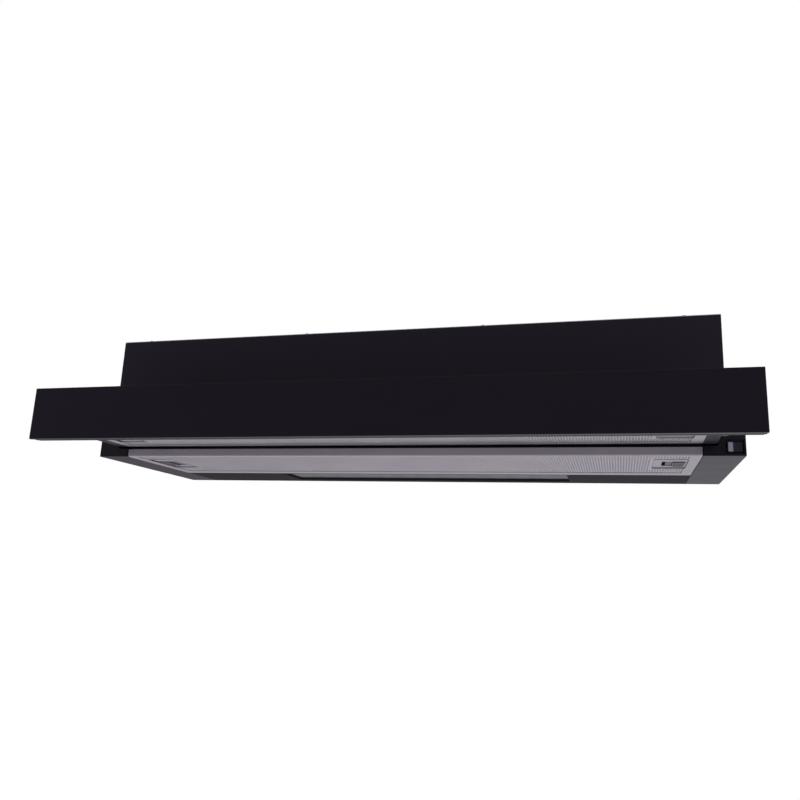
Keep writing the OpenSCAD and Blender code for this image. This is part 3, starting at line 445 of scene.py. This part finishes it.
# %% One finish for each slot of the record
FINISHES = {
    "black_glass": black_glass(),
    "black_paint": black_paint("satin_black_paint", 1.25, (0.0185, 0.0170, 0.0215),
                               (0.0235, 0.0220, 0.0265), 0.46),
    "black_plastic": moulded("grained_black_moulding", (0.0040, 0.0040, 0.0050),
                             (0.0064, 0.0064, 0.0078), 0.29),
    "blower_plastic": moulded("blower_moulding", (0.016, 0.016, 0.018), (0.026, 0.026, 0.028), 0.48, 0.0012),
    "rubber": moulded("matt_rubber", (0.012, 0.012, 0.012), (0.022, 0.021, 0.021), 0.74, 0.0016),
    "filter_frame": rolled_metal("rolled_aluminium", (0.355, 0.340, 0.352), (0.430, 0.418, 0.428), 0.40),
    "filter_mesh": mesh_layers(),
    "flap_sheet": rolled_metal("bright_rolled_sheet", (0.48, 0.48, 0.50), (0.62, 0.62, 0.64), 0.30),
    "grey_plastic": moulded("grained_grey_moulding", (0.085, 0.085, 0.094),
                            (0.115, 0.115, 0.126), 0.34),
    "zinc_steel": zinc_flakes(),
    "bright_steel": rolled_metal("turned_steel", (0.46, 0.46, 0.47), (0.62, 0.62, 0.63), 0.24,
                                 (1, 1, 0.05), 0.0004),
    "winding": varnished_winding(),
    "bronze": rolled_metal("sintered_bronze", (0.36, 0.22, 0.10), (0.52, 0.34, 0.17), 0.38,
                           (1, 1, 1), 0.0006),
    "white_paint": white_paint(),
    "white_plastic": moulded("white_moulding", (0.66, 0.66, 0.63), (0.74, 0.74, 0.71), 0.40),
    "lens": frosted_lens(),
    "led": light_chip(),
}
SPECIAL = {
    "rear_panel": black_paint("matt_black_paint", 1.08, (0.020, 0.0185, 0.021),
                              (0.025, 0.0235, 0.026), 0.50),
    "rocker": rocker_with_painted_highlight(),
}
for node, piece in frame["nodes"].items():
    for place in piece.material_slots:
        place.material = FINISHES[SLOT_OF[node]]
print("finishes:", len(FINISHES) + len(SPECIAL))

# %% [markdown]
# ## Soft edges
# No edge of a real part is sharp: sheet metal has a bend radius, a moulding has the radius of its
# tool, and a sheared edge is broken. A shader could fake this, but a real bevel also changes the
# outline. A CAD part's mesh is loose triangles, so a copy of it is merged and its flat faces are
# joined first. A face that wraps around a hole would be spoiled by a bevel and close the hole, so
# concave faces are split again. Then every edge that turns more than a few degrees is bevelled.

# %% Helpers for pieces
WELD = 0.005 * MM  # points nearer than this are one point
FLAT = math.radians(0.5)  # faces that turn less than this are one face
ROUND = math.radians(14)  # edges that turn less than this are shaded smooth
CORNER = math.radians(35)  # edges that turn more than this are bevelled
ON_BOX = 1e-5  # how near to a side of its box a point lies on that side


def merged_copy(node):
    """The CAD part's mesh with its loose triangles joined into clean faces."""
    bm = bmesh.new()
    bm.from_mesh(frame["nodes"][node].data)
    bmesh.ops.remove_doubles(bm, verts=bm.verts, dist=WELD)
    bmesh.ops.dissolve_limit(bm, angle_limit=FLAT, verts=bm.verts, edges=bm.edges)
    bmesh.ops.connect_verts_concave(bm, faces=bm.faces)
    return bm


def bevel(bm, edges, width, segments):
    """Rounds edges to a width in metres."""
    bmesh.ops.bevel(bm, geom=edges, offset=width, offset_type="OFFSET", segments=segments,
                    profile=0.5, affect="EDGES", clamp_overlap=True, material=-1)


def ease_edges(bm, width):
    """Bevels every edge that turns like a corner."""
    bevel(bm, [e for e in bm.edges if e.is_manifold and e.calc_face_angle() > CORNER], width, 2)


def outer_edges(bm):
    """Edges that lie along the edges of the part's own box."""
    corners = [Vector(v.co) for v in bm.verts]
    low = Vector(min(c[i] for c in corners) for i in range(3))
    high = Vector(max(c[i] for c in corners) for i in range(3))

    def walls(v):
        return {(i, s) for i in range(3) for s, c in enumerate((low, high))
                if abs(v.co[i] - c[i]) < ON_BOX}

    return [e for e in bm.edges if len(walls(e.verts[0]) & walls(e.verts[1])) >= 2]


def finish_piece(name, bm, body, slot, nodes=(), extra=()):
    """Turns a bmesh into an object with its finish, which rides on a body and stands for CAD nodes."""
    mesh = bpy.data.meshes.new(name)
    bm.to_mesh(mesh)
    bm.free()
    mesh.shade_smooth()
    mesh.set_sharp_from_angle(angle=ROUND)
    for material in (FINISHES[slot], *extra):
        mesh.materials.append(material)
    piece = bpy.data.objects.new(name, mesh)
    bpy.context.scene.collection.objects.link(piece)
    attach(piece, body)
    if nodes:
        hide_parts(*nodes)
    return piece


def soften(node, width, bend=0.0):
    """A part with eased edges, and a larger bend along the edges of its box where one is given.

    Both are in millimetres."""
    bm = merged_copy(node)
    for face in bm.faces:
        face.material_index = 0
    if bend:
        bevel(bm, outer_edges(bm), bend * MM, 3)
    ease_edges(bm, width * MM)
    piece = finish_piece("eased_" + node, bm, BODY_OF[node], SLOT_OF[node], [node])
    if node in SPECIAL:
        piece.data.materials[0] = SPECIAL[node]


print("helpers ready")

# %% [markdown]
# ## Folded sheet and mouldings
# The upper box, its plate, the deck, the tray and the channel behind the glass are folded from sheet
# about a millimetre thick, so they get a small break on the sheared edges and a larger radius on
# the bends. The mouldings get the radius of their tools.

# %% Sheet metal
SHEET_EASE = 0.28
BENDS = {
    "upper_box": 1.2, "top_plate": 0, "base_deck": 0, "tray_frame": 0.9, "panel_carrier": 1.0,
    "front_rail": 0, "rear_panel": 0, "lamp_housing": 1.0,
}
for node, bend in BENDS.items():
    soften(node, SHEET_EASE, bend)
print("sheet parts:", len(BENDS))

# %% Mouldings and small parts
EASED = {
    "panel_cap_left": 0.5, "panel_cap_right": 0.5, "side_block_left": 0.7, "side_block_right": 0.7,
    "control_bezel": 0.5, "switch_body": 0.2, "rocker": 0.4, "drawer_sensor": 0.3, "drawer_magnet": 0.3,
    "slide_inner_left": 0.3, "slide_inner_right": 0.3, "slide_outer_left": 0.3, "slide_outer_right": 0.3,
    "tray_latch_left": 0.25, "tray_latch_right": 0.25, "main_latch_left": 0.25, "main_latch_right": 0.25,
    "lamp_lens": 0.4, "led_board": 0.2, "led_driver": 1.5, "volute_left": 0.5, "volute_right": 0.5,
    "motor_stator": 0.6, "motor_cap_inner": 1.2, "motor_cap_outer": 1.2,
    "capacitor": 1.0, "outlet_spigot": 0.4, "flap_front": 0.25, "flap_rear": 0.25, "terminal_box": 0.6,
    "terminal_cover": 0.6, "terminal_block": 0.5, "cable_gland": 0.6, "panel_bumpers": 0.2,
}
for node, width in EASED.items():
    soften(node, width)
print("eased parts:", len(EASED))

# %% [markdown]
# ## Glass front
# The front is a strip of toughened glass with ground and polished edges. It is a block with a
# three-step bevel: the polished edge is what draws the thin bright line around black glass.

# %% Glass front
POLISHED = 0.7  # width of the polished edge in millimetres
bm = bmesh.new()
size = face_hi - face_lo
bmesh.ops.create_cube(bm, size=1, matrix=Matrix.LocRotScale((face_lo + face_hi) / 2, None, size))
bevel(bm, bm.edges[:], POLISHED * MM, 3)
finish_piece("glass_front", bm, "drawer", "black_glass", ["front_panel"])
print("glass", [round(c / MM, 1) for c in size])

# %% [markdown]
# ## Grease filters
# Each filter is a pressed aluminium frame around several layers of expanded foil, closed below by a
# sheet with several thousand punched holes. A picture of holes would go flat at a grazing view, so
# the holes are real: a grid is stretched over the field, cells in the way of a latch well are
# taken out, and each whole cell is inset twice, once flat for the strand of metal between two holes
# and once inwards for the wall of the hole. The right half is made and mirrored for the left,
# because one piece must not grow too large.

# %% The punched sheet of a filter
PITCH = 3.5 * MM  # between two holes
STRAND = 1.4 * MM  # width of metal between two holes
HOLE_DEPTH = 0.9 * MM
TAPER = 0.1 * MM  # how far a hole's wall leans inwards
SKIN_T = 1.1 * MM
LAYER_GAP = 0.1 * MM  # between the punched sheet and the layers above it
LAP = 1.2 * MM  # how far the sheet runs on above the frame's border
END_BORDER = 14 * MM
FRONT_BORDER = 3 * MM
WHOLE_CELL = 0.97  # share of a cell that has to be left if it is to get a hole
NEAR_CUT = 0.001 * MM


def notch_of(mesh_node):
    """The part of the right half that the latch well takes out of the layers: two corners."""
    low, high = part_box(mesh_node)
    inside = [v.co for v in frame["nodes"][mesh_node].data.vertices
              if v.co.x > 0 and low.y + MM < v.co.y < high.y - MM]
    return (Vector(min(c[i] for c in inside) for i in range(3)),
            Vector(max(c[i] for c in inside) for i in range(3)))


def punched_half(low, high, notch):
    """Right half of a punched sheet between two corners, around the notch, closed on its upper side."""
    bm = bmesh.new()
    size = high - low
    cells = [round(size.x / PITCH), round(size.y / PITCH)]
    place = Matrix.LocRotScale((low + high) / 2, None, Vector((size.x, size.y, 1)))
    bmesh.ops.create_grid(bm, x_segments=cells[0], y_segments=cells[1], size=0.5, matrix=place)
    area = size.x * size.y / cells[0] / cells[1]
    for axis, corner in ((0, 0), (1, 0), (1, 1)):  # the notch's inner end and its two sides
        near = [f for f in bm.faces if f.calc_center_median().x > notch[0].x - PITCH
                and notch[0].y - PITCH < f.calc_center_median().y < notch[1].y + PITCH]
        geometry = list({item for face in near for item in (face, *face.edges, *face.verts)})
        normal = Vector((1 - axis, axis, 0))
        bmesh.ops.bisect_plane(bm, geom=geometry, dist=NEAR_CUT, plane_co=notch[corner], plane_no=normal)
    taken = [f for f in bm.faces if f.calc_center_median().x > notch[0].x
             and notch[0].y < f.calc_center_median().y < notch[1].y]
    bmesh.ops.delete(bm, geom=taken, context="FACES")
    bmesh.ops.reverse_faces(bm, faces=bm.faces)
    whole = [f for f in bm.faces if len(f.verts) == 4 and f.calc_area() > WHOLE_CELL * area]
    bmesh.ops.inset_individual(bm, faces=whole, thickness=STRAND / 2, use_even_offset=True)
    bmesh.ops.inset_individual(bm, faces=whole, thickness=TAPER, depth=-HOLE_DEPTH, use_even_offset=True)
    for face in whole:
        face.material_index = 1
    rim = [e for e in bm.edges if e.is_boundary]
    raised = bmesh.ops.extrude_edge_only(bm, edges=rim)["geom"]
    upper = [v for v in raised if isinstance(v, bmesh.types.BMVert)]
    bmesh.ops.translate(bm, vec=(0, 0, SKIN_T), verts=upper)
    bmesh.ops.contextual_create(bm, geom=[e for e in raised if isinstance(e, bmesh.types.BMEdge)])
    bmesh.ops.recalc_face_normals(bm, faces=bm.faces)
    return bm


print("hole pitch", PITCH / MM, "mm")

# %% [markdown]
# ## Sheets, layers and frames
# The punched sheet and the layers stand for one CAD part, and the frame is a softened copy of
# another. Pressing leaves the frame with round corners at the latch wells and a rolled front lip, so
# those edges get a wide bevel before all the others get a narrow one.

# %% Sheets, layers and frames
WELL_R = 5 * MM  # round corners beside a latch well
LIP_R = 2.5 * MM  # lower edge of the front lip
FILTER_EASE = 0.3 * MM
# painted shade: the floor of each hole is much darker than the foil, standing for the shade inside the hole
HOLE_SHADE = rolled_metal("foil_in_the_holes_with_painted_shade", (0.05, 0.05, 0.052), (0.16, 0.16, 0.165), 0.45,
                     (1, 1, 1), 0.004)
PUNCHED = rolled_metal("punched_sheet", (0.42, 0.395, 0.42), (0.52, 0.505, 0.52), 0.36,
                       (0.1, 1, 1), 0.004)


def filter_pieces(name, rear_border):
    """The two halves of a punched sheet, the layers above it and the frame around them."""
    frame_lo, frame_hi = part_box(name + "_frame")
    mesh_lo, mesh_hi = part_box(name + "_mesh")
    notch = notch_of(name + "_mesh")
    wall = mesh_lo.y - frame_lo.y
    low = Vector((0, frame_lo.y + FRONT_BORDER - LAP, mesh_lo.z))
    high = Vector((frame_hi.x - END_BORDER + LAP, mesh_hi.y + wall - rear_border + LAP, mesh_lo.z))
    for side in ("right", "left"):
        bm = punched_half(low, high, notch)
        if side == "left":
            bmesh.ops.scale(bm, vec=(-1, 1, 1), verts=bm.verts)
            bmesh.ops.recalc_face_normals(bm, faces=bm.faces)
        holes = sum(f.material_index for f in bm.faces)
        sheet = finish_piece(f"{name}_punched_{side}", bm, name, "filter_mesh", extra=(HOLE_SHADE,))
        sheet.data.materials[0] = PUNCHED
        triangles = sum(len(p.vertices) - 2 for p in sheet.data.polygons)
        print(sheet.name, "holes:", holes, "triangles:", triangles)
    layers = merged_copy(name + "_mesh")
    for v in layers.verts:
        if v.co.z < mesh_lo.z + MM:
            v.co.z = mesh_lo.z + SKIN_T + LAYER_GAP
    ease_edges(layers, FILTER_EASE)
    finish_piece(name + "_layers", layers, name, "filter_mesh", [name + "_mesh"])
    rim = merged_copy(name + "_frame")
    inner = notch[0].x + wall
    corners = [e for e in rim.edges if abs(e.verts[0].co.z - e.verts[1].co.z) > MM
               and all(abs(abs(v.co.x) - inner) < 0.5 * MM for v in e.verts)]
    bevel(rim, corners, WELL_R, 5)
    lip = [e for e in outer_edges(rim) if all(abs(v.co.y - frame_lo.y) < ON_BOX for v in e.verts)
           and all(abs(v.co.z - frame_lo.z) < ON_BOX for v in e.verts)]
    bevel(rim, lip, LIP_R, 5)
    ease_edges(rim, FILTER_EASE)
    finish_piece(name + "_rim", rim, name, "filter_frame", [name + "_frame"])


filter_pieces("main_filter", 20 * MM)
filter_pieces("tray_filter", 11 * MM)

# %% [markdown]
# ## Screws
# A pan-head screw is a short cone whose rim is rounded, with a cross recess pressed into its top.
# The recess starts as an inset of the top face: its corners between the arms are pulled in, which
# leaves a cross, and the cross is pushed down.

# %% Screws
SIDES = 24
HEAD_TAPER = 0.8  # the head's top radius over its seat radius
CROWN = 0.25  # rounding of the head's rim over its height
BORDER = 0.22  # flat ring around the recess over the head's radius
PULL = 0.42  # how far the corners between the arms are pulled in
RECESS = 0.5  # depth of the recess over the head's height


def height(face):
    return face.calc_center_median().z


def screw(head_r, head_h, shank_r, shank_len):
    """A screw along Z, with its head above the origin and its shank below."""
    bm = bmesh.new()
    bmesh.ops.create_cone(bm, cap_ends=True, segments=SIDES, radius1=head_r, radius2=HEAD_TAPER * head_r,
                          depth=head_h, matrix=Matrix.Translation((0, 0, head_h / 2)))
    bevel(bm, list(max(bm.faces, key=height).edges), CROWN * head_h, 2)
    top = max((f for f in bm.faces if len(f.verts) == SIDES), key=height)
    bmesh.ops.inset_region(bm, faces=[top], thickness=BORDER * head_r, use_even_offset=True)
    for v in top.verts:
        step = round(math.degrees(math.atan2(v.co.y, v.co.x)) / 15) % 6
        if step in (2, 3, 4):
            v.co.xy *= PULL
    pressed = bmesh.ops.extrude_discrete_faces(bm, faces=[top])["faces"][0]
    bmesh.ops.translate(bm, vec=(0, 0, -RECESS * head_h), verts=pressed.verts)
    bmesh.ops.create_cone(bm, cap_ends=True, segments=SIDES, radius1=HEAD_TAPER * shank_r, radius2=shank_r,
                          depth=shank_len, matrix=Matrix.Translation((0, 0, -shank_len / 2)))
    return bm


def loose_parts(bm):
    """The separate solids of a mesh, each as a list of its points."""
    left = set(bm.verts)
    parts = []
    for start in bm.verts:
        if start not in left:
            continue
        left.remove(start)
        part = []
        front = [start]
        while front:
            v = front.pop()
            part.append(v.co.copy())
            near = {e.other_vert(v) for e in v.link_edges} & left
            left -= near
            front += near
        parts.append(part)
    return parts


def screws(node, out, head_r, head_h, shank_r, shank_len):
    """One piece for all the screws of a CAD node, each on its own seat and with its head along out."""
    axis = out.index(1)
    turn = Vector((0, 0, 1)).rotation_difference(Vector(out)).to_matrix().to_4x4()
    bm = bmesh.new()
    solids = merged_copy(node)
    for points in loose_parts(solids):
        seat = Vector((min(p[i] for p in points) + max(p[i] for p in points)) / 2 for i in range(3))
        seat[axis] = max(p[axis] for p in points) - head_h
        one = screw(head_r, head_h, shank_r, shank_len)
        one.transform(Matrix.Translation(seat) @ turn)
        scrap = bpy.data.meshes.new("screw")
        one.to_mesh(scrap)
        bm.from_mesh(scrap)
        one.free()
        bpy.data.meshes.remove(scrap)
    solids.free()
    bmesh.ops.recalc_face_normals(bm, faces=bm.faces)
    piece = finish_piece("driven_" + node, bm, BODY_OF[node], SLOT_OF[node], [node])
    print(piece.name, len(piece.data.polygons), "faces")


screws("top_screws", (0, 0, 1), 3.2 * MM, 2 * MM, 1.5 * MM, 6 * MM)
screws("blower_screws", (0, 0, 1), 4 * MM, 2.4 * MM, 2 * MM, 12 * MM)
screws("panel_screws", (0, 1, 0), 3.2 * MM, 2 * MM, 1.5 * MM, 5 * MM)
